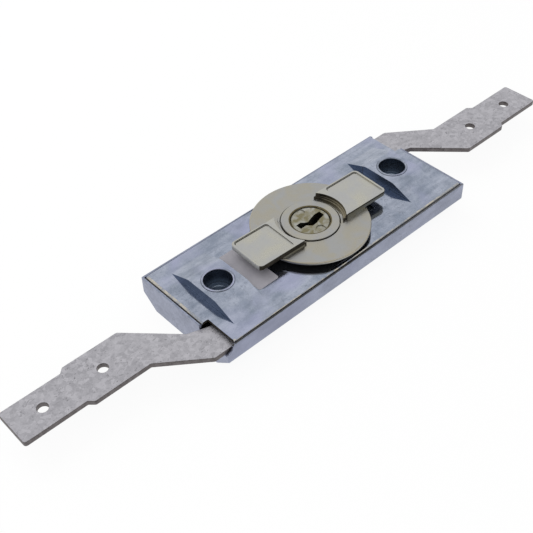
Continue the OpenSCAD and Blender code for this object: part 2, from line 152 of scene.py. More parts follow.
class DiscSettings(bpy.types.PropertyGroup):
    """Sizes and colours of the disc and the cylinder."""

    edge_round: bpy.props.FloatProperty(
        name="Cast edge rounding", description="Rounding of the wings' edges",
        default=0.3 * MM, min=0.0, unit="LENGTH", precision=5)
    nickel: bpy.props.FloatVectorProperty(
        name="Nickel", description="Satin nickel of the disc", subtype="COLOR",
        default=(0.37, 0.373, 0.37))
    grip: bpy.props.FloatVectorProperty(
        name="Grip", description="Smoother nickel of the wings", subtype="COLOR",
        default=(0.435, 0.438, 0.432))
    # Dark colour painted as shade on the wings, the recess edges, the hollow ends, the notch walls
    # and the seam
    painted_shade: bpy.props.FloatVectorProperty(
        name="Dirt", description="Dark residue in grooves", subtype="COLOR",
        default=(0.022, 0.019, 0.014))
    plug: bpy.props.FloatVectorProperty(
        name="Plug", description="Warm nickel of the key plug", subtype="COLOR",
        default=(0.395, 0.395, 0.36))
    stain: bpy.props.FloatVectorProperty(
        name="Stain", description="Brown stains on the key plug", subtype="COLOR",
        default=(0.17, 0.145, 0.06))


class ArmSettings(bpy.types.PropertyGroup):
    """Sizes and colours of the arms."""

    edge_round: bpy.props.FloatProperty(
        name="Bar edge rounding", description="Rounding of the flat bars' edges",
        default=0.3 * MM, min=0.0, unit="LENGTH", precision=5)
    light: bpy.props.FloatVectorProperty(
        name="Light spangle", description="Light crystals of the galvanising", subtype="COLOR",
        default=(0.485, 0.477, 0.508))
    dark: bpy.props.FloatVectorProperty(
        name="Dark spangle", description="Dark crystals of the galvanising", subtype="COLOR",
        default=(0.34, 0.335, 0.36))


class StageSettings(bpy.types.PropertyGroup):
    """Camera, lamps and floor."""

    camera_place: bpy.props.FloatVectorProperty(
        name="Camera place", description="Where the camera stands", subtype="TRANSLATION",
        unit="LENGTH", default=(-0.193867, -0.193594, 0.258541))
    camera_target: bpy.props.FloatVectorProperty(
        name="Camera target", description="What the camera looks at", subtype="TRANSLATION",
        unit="LENGTH", default=(-0.027400, -0.004160, 0.013785))
    camera_roll: bpy.props.FloatProperty(
        name="Camera roll", description="Turn of the camera about its view", unit="ROTATION",
        default=radians(-2.0745))
    lens: bpy.props.FloatProperty(
        name="Lens", description="Focal length in millimetres on a sensor 36 wide",
        default=62.588)
    key_power: bpy.props.FloatProperty(
        name="Key lamp", description="Power of the large lamp behind the lock", unit="POWER",
        default=2.0)
    fill_power: bpy.props.FloatProperty(
        name="Fill lamp", description="Power of the lamp over the camera", unit="POWER",
        default=0.8)
    sky: bpy.props.FloatProperty(
        name="Sky", description="Strength of the even light all round", default=0.7)


class LockSettings(bpy.types.PropertyGroup):
    """All settings of the lock."""

    case: bpy.props.PointerProperty(type=CaseSettings)
    disc: bpy.props.PointerProperty(type=DiscSettings)
    arms: bpy.props.PointerProperty(type=ArmSettings)
    stage: bpy.props.PointerProperty(type=StageSettings)


# Materials


def empty_tree(owner):
    """The node tree of a material or a world, emptied."""
    owner.use_nodes = True
    owner.node_tree.nodes.clear()
    return owner.node_tree


def new_tree(name):
    """A material with an empty node tree, its tree and its Principled shader."""
    material = bpy.data.materials.new(name)
    tree = empty_tree(material)
    shader = add(tree, "ShaderNodeBsdfPrincipled")
    add(tree, "ShaderNodeOutputMaterial", Surface=shader.outputs[0])
    return material, tree, shader


def add(tree, kind, **inputs):
    """Adds a node. Lower-case names are its settings, the rest values or links of its inputs."""
    made = tree.nodes.new(kind)
    for key, value in inputs.items():
        if key[0].islower():
            setattr(made, key, value)
            continue
        socket = made.inputs[int(key[1:]) if key[1:].isdigit() else key.replace("_", " ")]
        if isinstance(value, bpy.types.NodeSocket):
            tree.links.new(value, socket)
        else:
            socket.default_value = value
    return made


def place_on(tree, stretch=(1, 1, 1)):
    """Object coordinates, stretched along the axes."""
    place = add(tree, "ShaderNodeTexCoord").outputs["Object"]
    return add(tree, "ShaderNodeMapping", Vector=place, Scale=stretch).outputs[0]


def clouds(tree, where, size, detail=3.0, roughness=0.55, distortion=0.0):
    """Soft noise with patches of about that size in metres."""
    return add(tree, "ShaderNodeTexNoise", Vector=where, Scale=1 / size, Detail=detail,
               Roughness=roughness, Distortion=distortion).outputs[0]


def between(tree, factor, low, high, from_low=0.3, from_high=0.7):
    """A number that runs from low to high as the factor does between two bounds."""
    return add(tree, "ShaderNodeMapRange", Value=factor, From_Min=from_low, From_Max=from_high,
               To_Min=low, To_Max=high).outputs[0]


def maths(tree, kind, *values):
    """A number worked out from others."""
    inputs = {f"V{i}": value for i, value in enumerate(values)}
    return add(tree, "ShaderNodeMath", operation=kind, **inputs).outputs[0]


def blend(tree, factor, first, second):
    """Mixes two colours by a factor."""
    made = add(tree, "ShaderNodeMix", data_type="RGBA")
    for place, value in ((0, factor), (6, first), (7, second)):
        socket = made.inputs[place]
        if isinstance(value, bpy.types.NodeSocket):
            tree.links.new(value, socket)
        else:
            socket.default_value = (*value, 1.0) if hasattr(value, "__len__") else value
    return made.outputs[2]


def shade(colour, share):
    """A colour made darker or lighter."""
    return [part * share for part in colour]


def coat(tree, shader, colour, roughness, metallic):
    """Gives a shader its colour, its roughness and its share of metal."""
    tree.links.new(colour, shader.inputs["Base Color"])
    tree.links.new(roughness, shader.inputs["Roughness"])
    shader.inputs["Metallic"].default_value = metallic


def dent(tree, shader, height, depth, strength):
    """Bump of that depth in metres."""
    made = add(tree, "ShaderNodeBump", Height=height, Distance=depth, Strength=strength)
    tree.links.new(made.outputs[0], shader.inputs["Normal"])


def zinc(name, light, dark, gloss=0.3, patch=9 * MM, cast=0.6, soil=0.2):
    """Bluish zinc plating: soft patches, faint streaks along the sheet, stains and fine grain."""
    material, tree, shader = new_tree(name)
    where = place_on(tree)
    along = place_on(tree, (0.18, 1.0, 1.0))
    patches = clouds(tree, where, patch, 4.0, 0.6, 0.4)
    streaks = clouds(tree, along, 2.2 * MM, 2.0, 0.5, 0.3)
    grain = clouds(tree, where, 0.6 * MM, 2.0)
    tone = blend(tree, 0.35, patches, streaks)
    tone = blend(tree, 0.18, tone, grain)
    colour = blend(tree, between(tree, tone, 0.0, 1.0, 0.40, 0.60), dark, light)

    region = clouds(tree, where, 2.4 * patch, 2.0, 0.5, 0.6)
    violet = [light[0] * 0.94, light[1] * 0.90, light[2] * 1.06]
    colour = blend(tree, between(tree, region, cast, 0.0, 0.36, 0.52), colour, violet)

    spots = between(tree, clouds(tree, where, 1.3 * MM, 3.0, 0.7, 0.8), 0.0, 1.0, 0.54, 0.70)
    spread = between(tree, region, 0.0, 0.7, 0.48, 0.62)
    colour = blend(tree, maths(tree, "MULTIPLY", spots, spread), colour, shade(dark, 0.62))
    smear = clouds(tree, place_on(tree, (0.6, 1.2, 1.0)), 1.6 * patch, 5.0, 0.65, 1.4)
    colour = blend(tree, between(tree, smear, 0.0, soil, 0.50, 0.66), colour, shade(dark, 0.72))

    coat(tree, shader, colour, between(tree, tone, gloss + 0.09, gloss - 0.03, 0.35, 0.65), 1.0)
    dent(tree, shader, blend(tree, 0.5, patches, grain), 0.05 * MM, 0.35)
    return material


def worn_metal(name, colour, dark, gloss=0.32):
    """Bare, rubbed edge metal."""
    material, tree, shader = new_tree(name)
    where = place_on(tree)
    rub = clouds(tree, where, 2.5 * MM, 4.0, 0.65)
    tone = blend(tree, between(tree, rub, 0.0, 1.0, 0.35, 0.62), dark, colour)
    coat(tree, shader, tone, between(tree, rub, gloss + 0.12, gloss, 0.3, 0.7), 1.0)
    dent(tree, shader, clouds(tree, where, 0.5 * MM, 2.0), 0.02 * MM, 0.4)
    return material


def nickel(name, colour, tint, gloss=0.3, rings=0.0, patch=7 * MM, share=0.55):
    """Satin nickel with a faint warm cast and, on turned faces, fine rings."""
    material, tree, shader = new_tree(name)
    where = place_on(tree)
    cast = clouds(tree, where, patch, 3.0, 0.55, 0.5)
    grain = clouds(tree, where, 0.45 * MM, 2.0)
    dull = (0.23, 0.23, 0.21)
    tone = blend(tree, between(tree, cast, 0.0, share, 0.36, 0.60), colour, tint)
    tone = blend(tree, between(tree, grain, 0.0, 0.16), tone, dull)
    satin = between(tree, blend(tree, 0.4, cast, grain), gloss + 0.1, gloss - 0.03, 0.35, 0.65)
    coat(tree, shader, tone, satin, 1.0)
    height = grain
    if rings:
        turned = add(tree, "ShaderNodeTexWave", wave_type="RINGS", rings_direction="Z",
                     Vector=where, Scale=1 / (rings * 6.2), Distortion=0.6, Detail=1.0).outputs[0]
        height = blend(tree, 0.4, grain, turned)
    dent(tree, shader, height, 0.02 * MM, 0.45)
    return material


def galvanised(name, light, dark):
    """Hot galvanised steel: crystals of different grey, dull and slightly rough."""
    material, tree, shader = new_tree(name)
    where = place_on(tree)
    warp = add(tree, "ShaderNodeTexNoise", Vector=where, Scale=1 / (1.5 * MM), Detail=3.0)
    shift = add(tree, "ShaderNodeVectorMath", operation="SCALE", V0=warp.outputs["Color"],
                Scale=1.4 * MM)
    moved = add(tree, "ShaderNodeVectorMath", operation="ADD", V0=where, V1=shift.outputs[0])
    crystals = add(tree, "ShaderNodeTexVoronoi", Vector=moved.outputs[0], Scale=1 / (1.6 * MM))
    each = add(tree, "ShaderNodeSeparateColor", Color=crystals.outputs["Color"])
    cloud = clouds(tree, where, 5 * MM, 5.0, 0.7)
    grain = clouds(tree, where, 0.6 * MM, 3.0, 0.6)
    tone = blend(tree, 0.62, each.outputs[0], cloud)
    tone = blend(tree, 0.35, tone, grain)
    colour = blend(tree, between(tree, tone, 0.0, 1.0, 0.33, 0.64), dark, light)
    scuffs = clouds(tree, place_on(tree, (0.7, 1.3, 1.0)), 1.5 * MM, 2.0, 0.6, 1.5)
    colour = blend(tree, between(tree, scuffs, 0.0, 0.75, 0.61, 0.71), colour, shade(dark, 0.42))
    coat(tree, shader, colour, between(tree, each.outputs[1], 0.40, 0.50, 0.0, 1.0), 0.9)
    dent(tree, shader, blend(tree, 0.5, cloud, grain), 0.06 * MM, 0.4)
    return material


def plain(name, colour, other, size, rough, metallic=0.0):
    """A surface of two mixed tones with its own roughness and grain."""
    material, tree, shader = new_tree(name)
    where = place_on(tree)
    mottle = clouds(tree, where, size, 4.0, 0.6)
    tone = blend(tree, between(tree, mottle, 0.0, 1.0, 0.35, 0.68), colour, other)
    coat(tree, shader, tone, between(tree, mottle, rough - 0.05, rough + 0.08), metallic)
    dent(tree, shader, clouds(tree, where, 0.4 * MM, 3.0), 0.02 * MM, 0.5)
    return material


def banded(name, colour, low, high, soft, where_from, axis="Z", wobble=0.25, rough=0.36, metal=0.9,
           lean=0.0, fleck=0.3):
    """Metal that goes from one colour to another along an axis.

    The border wavers and may lean along X, and it is as soft as that many millimetres each way.
    """
    material, tree, shader = new_tree(name)
    where = place_on(tree)
    parts = add(tree, "ShaderNodeSeparateXYZ", Vector=where).outputs
    spot = maths(tree, "SUBTRACT", parts[axis], maths(tree, "MULTIPLY", parts["X"], lean))
    waver = between(tree, clouds(tree, where, 3 * MM, 3.0), -wobble * MM, wobble * MM)
    edge = maths(tree, "SUBTRACT", maths(tree, "ADD", spot, waver), where_from * MM)
    share = between(tree, edge, 0.0, 1.0, -soft * MM, soft * MM)
    grain = clouds(tree, where, 0.6 * MM, 3.0)
    tone = blend(tree, share, low, high)
    tone = blend(tree, between(tree, grain, 0.0, fleck), tone, colour)
    coat(tree, shader, tone, between(tree, grain, rough - 0.04, rough + 0.1), metal)
    dent(tree, shader, grain, 0.02 * MM, 0.4)
    return material


def dull_dark(name, colour):
    """A dull, dark finish that hardly mirrors; it paints shade, and the dark ring round the plug.
    """
    material, tree, shader = new_tree(name)
    mottle = clouds(tree, place_on(tree), 1.5 * MM, 3.0)
    tone = blend(tree, between(tree, mottle, 0.0, 1.0), colour, shade(colour, 2.2))
    coat(tree, shader, tone, between(tree, mottle, 0.7, 0.9), 0.0)
    shader.inputs["Specular IOR Level"].default_value = 0.15
    dent(tree, shader, mottle, 0.02 * MM, 0.4)
    return material


MADE = {}


def finish_of(name):
    """The named finish, made once from the settings."""
    if name not in MADE:
        lock = bpy.context.scene.shutter_lock
        MADE[name] = finish_makers(lock.case, lock.disc, lock.arms)[name]()
    return MADE[name]


def finish_makers(case, disc, arms):
    """What makes each finish, by its name."""
    return {
        "cover": lambda: zinc("cover_zinc", case.light, case.dark, 0.11, soil=0.42),
        # The worn edge finish, lighter than the zinc, is also a painted highlight on the rim's near
        # upper rounding
        "cover_edge": lambda: worn_metal("cover_worn_edge_and_highlight", case.worn, case.dark),
        "tray": lambda: zinc("tray_zinc", case.tray, shade(case.tray, 0.8), 0.3, 14 * MM, 0.2),
        # The tray's worn edge finish, lighter than the tray, is also a painted highlight at the
        # tray's left end
        "tray_edge": lambda: worn_metal("tray_worn_edge_and_highlight", shade(case.tray, 1.1), case.dark, 0.36),
        "bush": lambda: zinc("bush_zinc", case.light, shade(case.dark, 0.8), 0.24, 5 * MM),
        # The bore: painted dark blue, darker above the cover: painted shade inside the bush
        "bore": lambda: banded("bore_painted_shade", (0.13, 0.155, 0.20), (0.19, 0.23, 0.29),
                               (0.06, 0.08, 0.115), 1.6, 14.2, rough=0.28, lean=0.02),
        # The bridges' end walls are painted dark slate, darker towards the top: painted shade
        "bridge_shade": lambda: banded("bridge_wall_painted_shade", case.dark, (0.16, 0.215, 0.32),
                                   (0.098, 0.138, 0.22), 0.6, 14.5,
                                   wobble=0.5, rough=0.3, fleck=0.15),
        # Painted shade along the seam between cover and tray, darkest towards the left end
        "seam": lambda: banded("seam_painted_shade", (0.10, 0.10, 0.105), disc.painted_shade, (0.13, 0.13, 0.135),
                               26.0, 34.0, axis="X", rough=0.6, metal=0.0, fleck=0.15),
        "inside": lambda: zinc("inside_steel", (0.45, 0.46, 0.48), (0.28, 0.29, 0.31), 0.36),
        # The shield turns from black to a dull blue towards the right lobe of the opening: painted
        # reflection of the wing on the cover
        "shield": lambda: banded("shield_black_painted_reflection", (0.02, 0.022, 0.026), (0.006, 0.007, 0.009),
                                 (0.04, 0.058, 0.078), 2.5, 27.0, axis="X", rough=0.4, metal=0.0),
        "sticker": lambda: plain("sticker_paper", (0.385, 0.373, 0.405), (0.34, 0.33, 0.365),
                                 4 * MM, 0.6),
        "nickel": lambda: nickel("disc_nickel", disc.nickel, (0.385, 0.35, 0.255), 0.3),
        "grip": lambda: nickel("grip_nickel", disc.grip, (0.50, 0.48, 0.38), 0.27, patch=11 * MM),
        "ring": lambda: nickel("ring_nickel", disc.nickel, (0.42, 0.39, 0.30), 0.28,
                               rings=0.5 * MM),
        # Lighter, warmer nickel: painted highlight on the disc's rounded rim and the right wing's
        # recess end walls
        "warm": lambda: nickel("warm_highlight_nickel", (0.40, 0.375, 0.31), (0.42, 0.37, 0.26), 0.32),
        # The wings' outer walls darken upwards into a dark band: painted shade
        "wall": lambda: banded("wing_wall_painted_shade", disc.nickel, (0.27, 0.265, 0.22), (0.15, 0.145, 0.105),
                               1.2, 18.5, fleck=0.1),
        # The wings' tip walls are darker low and lighter high: painted shade and painted highlight
        "tip": lambda: banded("wing_tip_painted_shade", disc.nickel, shade(disc.nickel, 0.62),
                              shade(disc.nickel, 1.4), 0.9, 18.9, metal=0.1),
        # The right wing's hollow goes from olive to near black along Y: painted shade
        "hollow": lambda: banded("wing_hollow_painted_shade", disc.nickel, (0.22, 0.195, 0.135),
                                 (0.012, 0.011, 0.008), 5.5, 2.0, axis="Y", wobble=1.2, fleck=0.04),
        # Painted shade: the dull dark finish on walls, edges and corners where shade falls
        "painted_shade": lambda: dull_dark("groove_painted_shade", disc.painted_shade),
        # A dark ring round the plug's mouth
        "dark_mouth": lambda: dull_dark("plug_dark_mouth", (0.075, 0.062, 0.032)),
        "plug": lambda: nickel("plug_nickel", disc.plug, disc.stain, 0.28, patch=3.2 * MM,
                               share=0.85),
        "brass": lambda: plain("brass", (0.50, 0.36, 0.13), (0.36, 0.25, 0.08), 2 * MM, 0.34, 1.0),
        "arm": lambda: galvanised("arm_galvanised", arms.light, arms.dark),
        "arm_side": lambda: galvanised("arm_side_galvanised", (0.175, 0.16, 0.162),
                                       (0.115, 0.102, 0.103)),
    }


# Modelling helpers


class Pen:
    """Draws an outline in millimetres, line by line and arc by arc, on a level or upright plane."""

    def __init__(self, mesh, start, level=0.0, upright=False):
        self.mesh, self.level, self.upright = mesh, level, upright
        self.first = self.tip = bmesh.ops.create_vert(mesh, co=self.spot(*start))["vert"][0]

    def spot(self, u, v):
        """The point in space of a point of the drawing."""
        return Vector((u, self.level, v) if self.upright else (u, v, self.level)) * MM

    def line(self, u, v):
        """A straight line to a point."""
        self.tip = bmesh.ops.extrude_vert_indiv(self.mesh, verts=[self.tip])["verts"][0]
        self.tip.co = self.spot(u, v)
        return self

    def arc(self, u, v, angle, steps):
        """An arc about a point, by an angle in degrees, anticlockwise in the drawing."""
        axis = Vector((0, -1, 0)) if self.upright else Vector((0, 0, 1))
        turn = Matrix.Rotation(radians(angle) / steps, 3, axis)
        for _ in range(steps):
            self.tip = bmesh.ops.extrude_vert_indiv(self.mesh, verts=[self.tip])["verts"][0]
            bmesh.ops.rotate(self.mesh, verts=[self.tip], cent=self.spot(u, v), matrix=turn)
        return self

    def close(self):
        """A line back to the start."""
        self.mesh.edges.new((self.tip, self.first))
        return self


def merged_copy(node):
    """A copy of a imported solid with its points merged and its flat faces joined."""
    mesh = bmesh.new()
    mesh.from_mesh(frame["nodes"][node].data)
    for layer in list(mesh.loops.layers.uv.values()):
        mesh.loops.layers.uv.remove(layer)
    bmesh.ops.remove_doubles(mesh, verts=mesh.verts, dist=0.001 * MM)
    bmesh.ops.dissolve_limit(mesh, angle_limit=radians(0.4), verts=mesh.verts, edges=mesh.edges)
    return mesh


def creases(mesh, least=35, keep=None):
    """The edges where the surface turns by more than an angle, if a test keeps their middle."""
    found = []
    for edge in mesh.edges:
        if len(edge.link_faces) == 2 and edge.calc_face_angle(0) > radians(least):
            middle = (edge.verts[0].co + edge.verts[1].co) / (2 * MM)
            if keep is None or keep(middle):
                found.append(edge)
    return found


def round_off(mesh, edges, width, segments=2, finish=0):
    """Rounds edges, and gives the new faces a finish by its place in the piece's list."""
    made = bmesh.ops.bevel(mesh, geom=edges, offset=width, offset_type="OFFSET", segments=segments,
                           profile=0.5, affect="EDGES", material=-1, clamp_overlap=False,
                           loop_slide=False)
    for face in made["faces"]:
        face.material_index = finish
    return made["faces"]


def cut_across(mesh, faces, place, normal):
    """Cuts faces along a plane, and gives the faces on both sides of it."""
    whole = dict.fromkeys(part for face in faces for part in (face, *face.edges, *face.verts))
    made = bmesh.ops.bisect_plane(mesh, geom=list(whole), dist=1e-7, plane_co=place,
                                  plane_no=normal)
    return [part for part in made["geom"] if isinstance(part, bmesh.types.BMFace)]


def pushed(mesh, edge, step):
    """Draws a face out of an edge by a straight step, and gives the new edge."""
    out = bmesh.ops.extrude_edge_only(mesh, edges=[edge])["geom"]
    points = [part for part in out if isinstance(part, bmesh.types.BMVert)]
    bmesh.ops.translate(mesh, verts=points, vec=step)
    return next(part for part in out
                if isinstance(part, bmesh.types.BMEdge) and set(part.verts) == set(points))


def swept(mesh, edge, centre, angle, steps):
    """Draws faces out of an edge round a bend about X, and gives the last edge."""
    turn = Matrix.Rotation(angle / steps, 3, "X")
    for _ in range(steps):
        edge = pushed(mesh, edge, (0, 0, 0))
        bmesh.ops.rotate(mesh, verts=list(edge.verts), cent=centre, matrix=turn)
    return edge


def as_piece(mesh, name, body, finishes, replaced):
    """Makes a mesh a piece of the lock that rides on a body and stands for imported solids."""
    data = bpy.data.meshes.new(name)
    mesh.to_mesh(data)
    mesh.free()
    for finish in finishes:
        data.materials.append(finish_of(finish))
    data.shade_smooth()
    data.set_sharp_from_angle(angle=radians(38))
    piece = bpy.data.objects.new(name, data)
    bpy.context.scene.collection.objects.link(piece)
    weighted = piece.modifiers.new("flat faces stay flat", "WEIGHTED_NORMAL")
    weighted.keep_sharp = True
    weighted.weight = 80
    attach(piece, body)
    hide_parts(*replaced)
    return piece


def rounded_solid(node, name, body, finish, width, segments=2):
    """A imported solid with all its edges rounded."""
    mesh = merged_copy(node)
    round_off(mesh, creases(mesh), width, segments)
    return as_piece(mesh, name, body, [finish], [node])


# Pieces


def cover_sheet(case):
    """The cover: one sheet with its opening, notches and two bridges pressed out of it."""
    mesh = bmesh.new()
    draw_outline(mesh)
    draw_opening(mesh)
    bend = case.bend_radius / MM
    end = BRIDGE_FOOT + bend_reach(bend)
    for side in (1, -1):
        near, far = side * FIXING_X - BRIDGE_HALF, side * FIXING_X + BRIDGE_HALF
        pen = Pen(mesh, (near, -end), COVER_TOP)
        pen.line(far, -end).line(far, end).line(near, end).close()
    bmesh.ops.triangle_fill(mesh, use_beauty=True, edges=mesh.edges[:])

    tops = {side: [ramp(mesh, side, way, bend) for way in (-1, 1)] for side in (1, -1)}
    for side, (first, second) in tops.items():
        fill_top(mesh, side, first, second)
    bmesh.ops.remove_doubles(mesh, verts=mesh.verts, dist=0.001 * MM)
    for wall in (s * FIXING_X + t * BRIDGE_HALF for s in (1, -1) for t in (1, -1)):
        rim = [edge for edge in mesh.edges
               if edge.is_boundary and all(abs(v.co.x / MM - wall) < 0.001 for v in edge.verts)]
        bmesh.ops.edgeloop_fill(mesh, edges=rim)

    bmesh.ops.recalc_face_normals(mesh, faces=mesh.faces)
    if sum(f.normal.z * f.calc_area() for f in mesh.faces) < 0:
        bmesh.ops.reverse_faces(mesh, faces=mesh.faces)
    bmesh.ops.solidify(mesh, geom=mesh.faces[:], thickness=case.sheet)
    bmesh.ops.recalc_face_normals(mesh, faces=mesh.faces)
    return mesh


def draw_outline(mesh):
    """Draws the cover's outline with its two notches."""
    (half_l, half_w), (notch_x, notch_y) = COVER_HALF, NOTCH
    pen = Pen(mesh, (-notch_x, -half_w), COVER_TOP)
    for side in (1, -1):
        if side < 0:
            pen.line(notch_x, half_w)
        pen.line(side * half_l, -side * half_w).line(side * half_l, side * notch_y)
        pen.line(side * notch_x, side * notch_y)
    pen.close()


def draw_opening(mesh):
    """Draws the cover's round opening, with flats and lobes, a little tighter far right."""
    narrow, flat, lobe, lobe_half = 23.4, 22.28, 26.8, 9.7
    lobe_end, wide = {1: 8.2, -1: lobe_half}, {1: 24.8, -1: 25.6}
    pen = Pen(mesh, (sqrt(narrow**2 - flat**2), -flat), COVER_TOP)
    for side in (1, -1):
        if side < 0:
            pen.line(-sqrt(narrow**2 - flat**2), flat)
        pen.arc(0, 0, degrees(asin(flat / narrow) - asin(lobe_half / narrow)), 12)
        pen.line(side * lobe, -side * lobe_half).line(side * lobe, side * lobe_end[side])
        pen.line(side * sqrt(wide[side]**2 - lobe_half**2), side * lobe_half)
        pen.arc(0, 0, degrees(asin(flat / wide[side]) - asin(lobe_half / wide[side])), 12)
    pen.close()


def bend_reach(bend):
    """How far a bend of a bridge's sloping end reaches from its corner."""
    return bend * tan(BRIDGE_SLOPE / 2)


def ramp(mesh, side, way, bend):
    """Draws one sloping end of a bridge out of the sheet, and gives its upper edge."""
    reach = bend_reach(bend)
    foot, top = way * (BRIDGE_FOOT + reach), way * (BRIDGE_FLAT - reach)
    start = Vector((side * FIXING_X, foot, COVER_TOP))

    def distance(edge):
        return ((edge.verts[0].co + edge.verts[1].co) / (2 * MM) - start).length

    edge = min(mesh.edges, key=distance)
    edge = swept(mesh, edge, Vector((0, foot, COVER_TOP + bend)) * MM, -way * BRIDGE_SLOPE, 5)
    length = hypot(BRIDGE_TOP - COVER_TOP, BRIDGE_FOOT - BRIDGE_FLAT) - 2 * reach
    step = Vector((0, -way * cos(BRIDGE_SLOPE), sin(BRIDGE_SLOPE))) * length * MM
    edge = pushed(mesh, edge, step)
    return swept(mesh, edge, Vector((0, top, BRIDGE_TOP - bend)) * MM, way * BRIDGE_SLOPE, 5)


def fill_top(mesh, side, first, second):
    """Fills the flat top of a bridge between its sloping ends, round the hole for the bush."""
    rim = [first, second]
    for a in first.verts:
        b = min(second.verts, key=lambda v: abs(v.co.x - a.co.x))
        rim.append(mesh.edges.new((a, b)))
    at = Matrix.Translation(Vector((side * FIXING_X, 0, BRIDGE_TOP)) * MM)
    ring = bmesh.ops.create_circle(mesh, cap_ends=False, radius=BUSH_HOLE * MM, segments=64,
                                   matrix=at)
    rim += dict.fromkeys(edge for point in ring["verts"] for edge in point.link_edges)
    bmesh.ops.triangle_fill(mesh, use_beauty=True, edges=rim)


def build_cover(case):
    """The cover with its rounded, worn rim, painted lighter above and darker below on its near
    sides as painted highlight and painted shade.
    """
    mesh = cover_sheet(case)
    (half_l, half_w), (notch_x, notch_y) = COVER_HALF, NOTCH
    sheet = case.sheet / MM
    clean, worn, bridge_shade, painted_shade, seam = range(5)

    def at_side(p, slack):
        return abs(p.x) > half_l - slack or abs(p.y) > half_w - slack

    def in_notch(p):
        return (abs(abs(p.x) - notch_x) < 0.05 and abs(p.y) > notch_y
                or abs(abs(p.y) - notch_y) < 0.05 and abs(p.x) > notch_x)

    def on_rim(p):
        return at_side(p, SLACK) and not in_notch(p) and p.z > COVER_TOP - sheet + SLACK

    def is_seen(p):
        behind_wall = abs(abs(abs(p.x) - FIXING_X) - BRIDGE_HALF + sheet) < 0.1
        return (at_side(p, 0.3) or p.z > COVER_TOP - sheet + 0.1) and not behind_wall

    # The rim's rounding is worn; on the near sides its upper part is also a painted highlight and
    # its lower part gets the seam's painted shade, while the far sides stay clean
    for face in round_off(mesh, creases(mesh, 40, on_rim), case.rim_round, 4, worn):
        way = face.normal
        if way.y < -0.4 and way.z < 0.6 or way.x < -0.4 and way.z < 0.4:
            face.material_index = seam
        elif way.y > 0.1 or way.x > 0.1:
            face.material_index = clean
    round_off(mesh, creases(mesh, 40, is_seen), case.cut_round, 2, clean)
    for face in mesh.faces:
        middle = face.calc_center_median() / MM
        # The lower part of the notch walls: painted shade
        if in_notch(middle) and middle.z < COVER_TOP - 0.15:
            face.material_index = painted_shade
        # The bridges' end walls get their painted shade
        at_bridge = abs(middle.x) < FIXING_X + BRIDGE_HALF + 1 and middle.z > COVER_TOP - 0.1
        if abs(face.normal.x) > 0.7 and at_bridge:
            face.material_index = bridge_shade
    dark_line(mesh, painted_shade)
    finishes = ["cover", "cover_edge", "bridge_shade", "painted_shade", "seam"]
    return as_piece(mesh, "cover", "case", finishes, ["cover_plate"])


def dark_line(mesh, finish):
    """Paints a thin dark line across the end wall of the right bridge."""
    wall, half_wide = (FIXING_X - BRIDGE_HALF) * MM, 0.1
    faces = [face for face in mesh.faces
             if face.normal.x < -0.9 and abs(face.calc_center_median().x - wall) < 0.1 * MM]
    for across in (DARK_LINE_Y - half_wide, DARK_LINE_Y + half_wide):
        faces = cut_across(mesh, faces, (0, across * MM, 0), (0, 1, 0))
    for face in faces:
        if abs(face.calc_center_median().y / MM - DARK_LINE_Y) < half_wide:
            face.material_index = finish


def build_bush(side, name, node):
    """A fixing bush, turned from its profile, with a rolled lip round its head recess."""
    mesh = bmesh.new()
    at = side * FIXING_X
    pen = Pen(mesh, (at + 3.3, 0.0), 0.0, upright=True)
    for r, z in ((4.8, 0.0), (5.0, 0.2), (5.0, 1.0), (7.2, 1.0), (7.2, 8.0), (6.0, 8.0),
                 (6.0, 17.95), (6.33, 18.0)):
        pen.line(at + r, z)
    pen.arc(at + 5.88, 17.85, 105, 7)
    for r, z in ((5.42, 17.9), (5.4, 17.6), (5.4, 11.9), (5.1, 11.5), (3.6, 11.5), (3.3, 11.2)):
        pen.line(at + r, z)
    pen.close()
    bmesh.ops.spin(mesh, geom=mesh.verts[:] + mesh.edges[:], cent=(at * MM, 0, 0), axis=(0, 0, 1),
                   angle=2 * pi, steps=72, use_merge=True)
    bmesh.ops.remove_doubles(mesh, verts=mesh.verts, dist=0.001 * MM)
    bmesh.ops.recalc_face_normals(mesh, faces=mesh.faces)
    # Faces inside the bush below its lip get the bore finish, painted dark as shade
    for face in mesh.faces:
        middle = face.calc_center_median() / MM
        if hypot(middle.x - at, middle.y) < 5.5 and middle.z < BRIDGE_TOP - 0.05:
            face.material_index = 1
    return as_piece(mesh, name, "case", ["bush", "bore"], [node])


def shape_wall_ends(mesh):
    """Lifts and narrows the rounded ends of the side walls at the notches, as in the photograph."""
    half_x, half_y = TRAY_HALF
    old_length, old_height, old_top = 4.3, 3.8, 9.9
    new_length, new_height, new_top = 2.5, 2.8, 12.8
    for point in mesh.verts:
        side = 1 if point.co.x > 0 else -1
        x, y, z = side * point.co.x / MM, side * point.co.y / MM, point.co.z / MM
        in_wall = x > half_x - old_length - 0.1 and y > half_y - 1.15
        in_curve = old_top - old_height - 0.05 < z < old_top + 0.15
        in_end_lip = x > half_x - 1.1 and z > 8
        if in_wall and in_curve and not in_end_lip:
            point.co.x = side * (half_x - (half_x - x) * new_length / old_length) * MM
            drop = (old_top - min(z, old_top + 0.05)) * new_height / old_height
            point.co.z = (new_top - drop) * MM


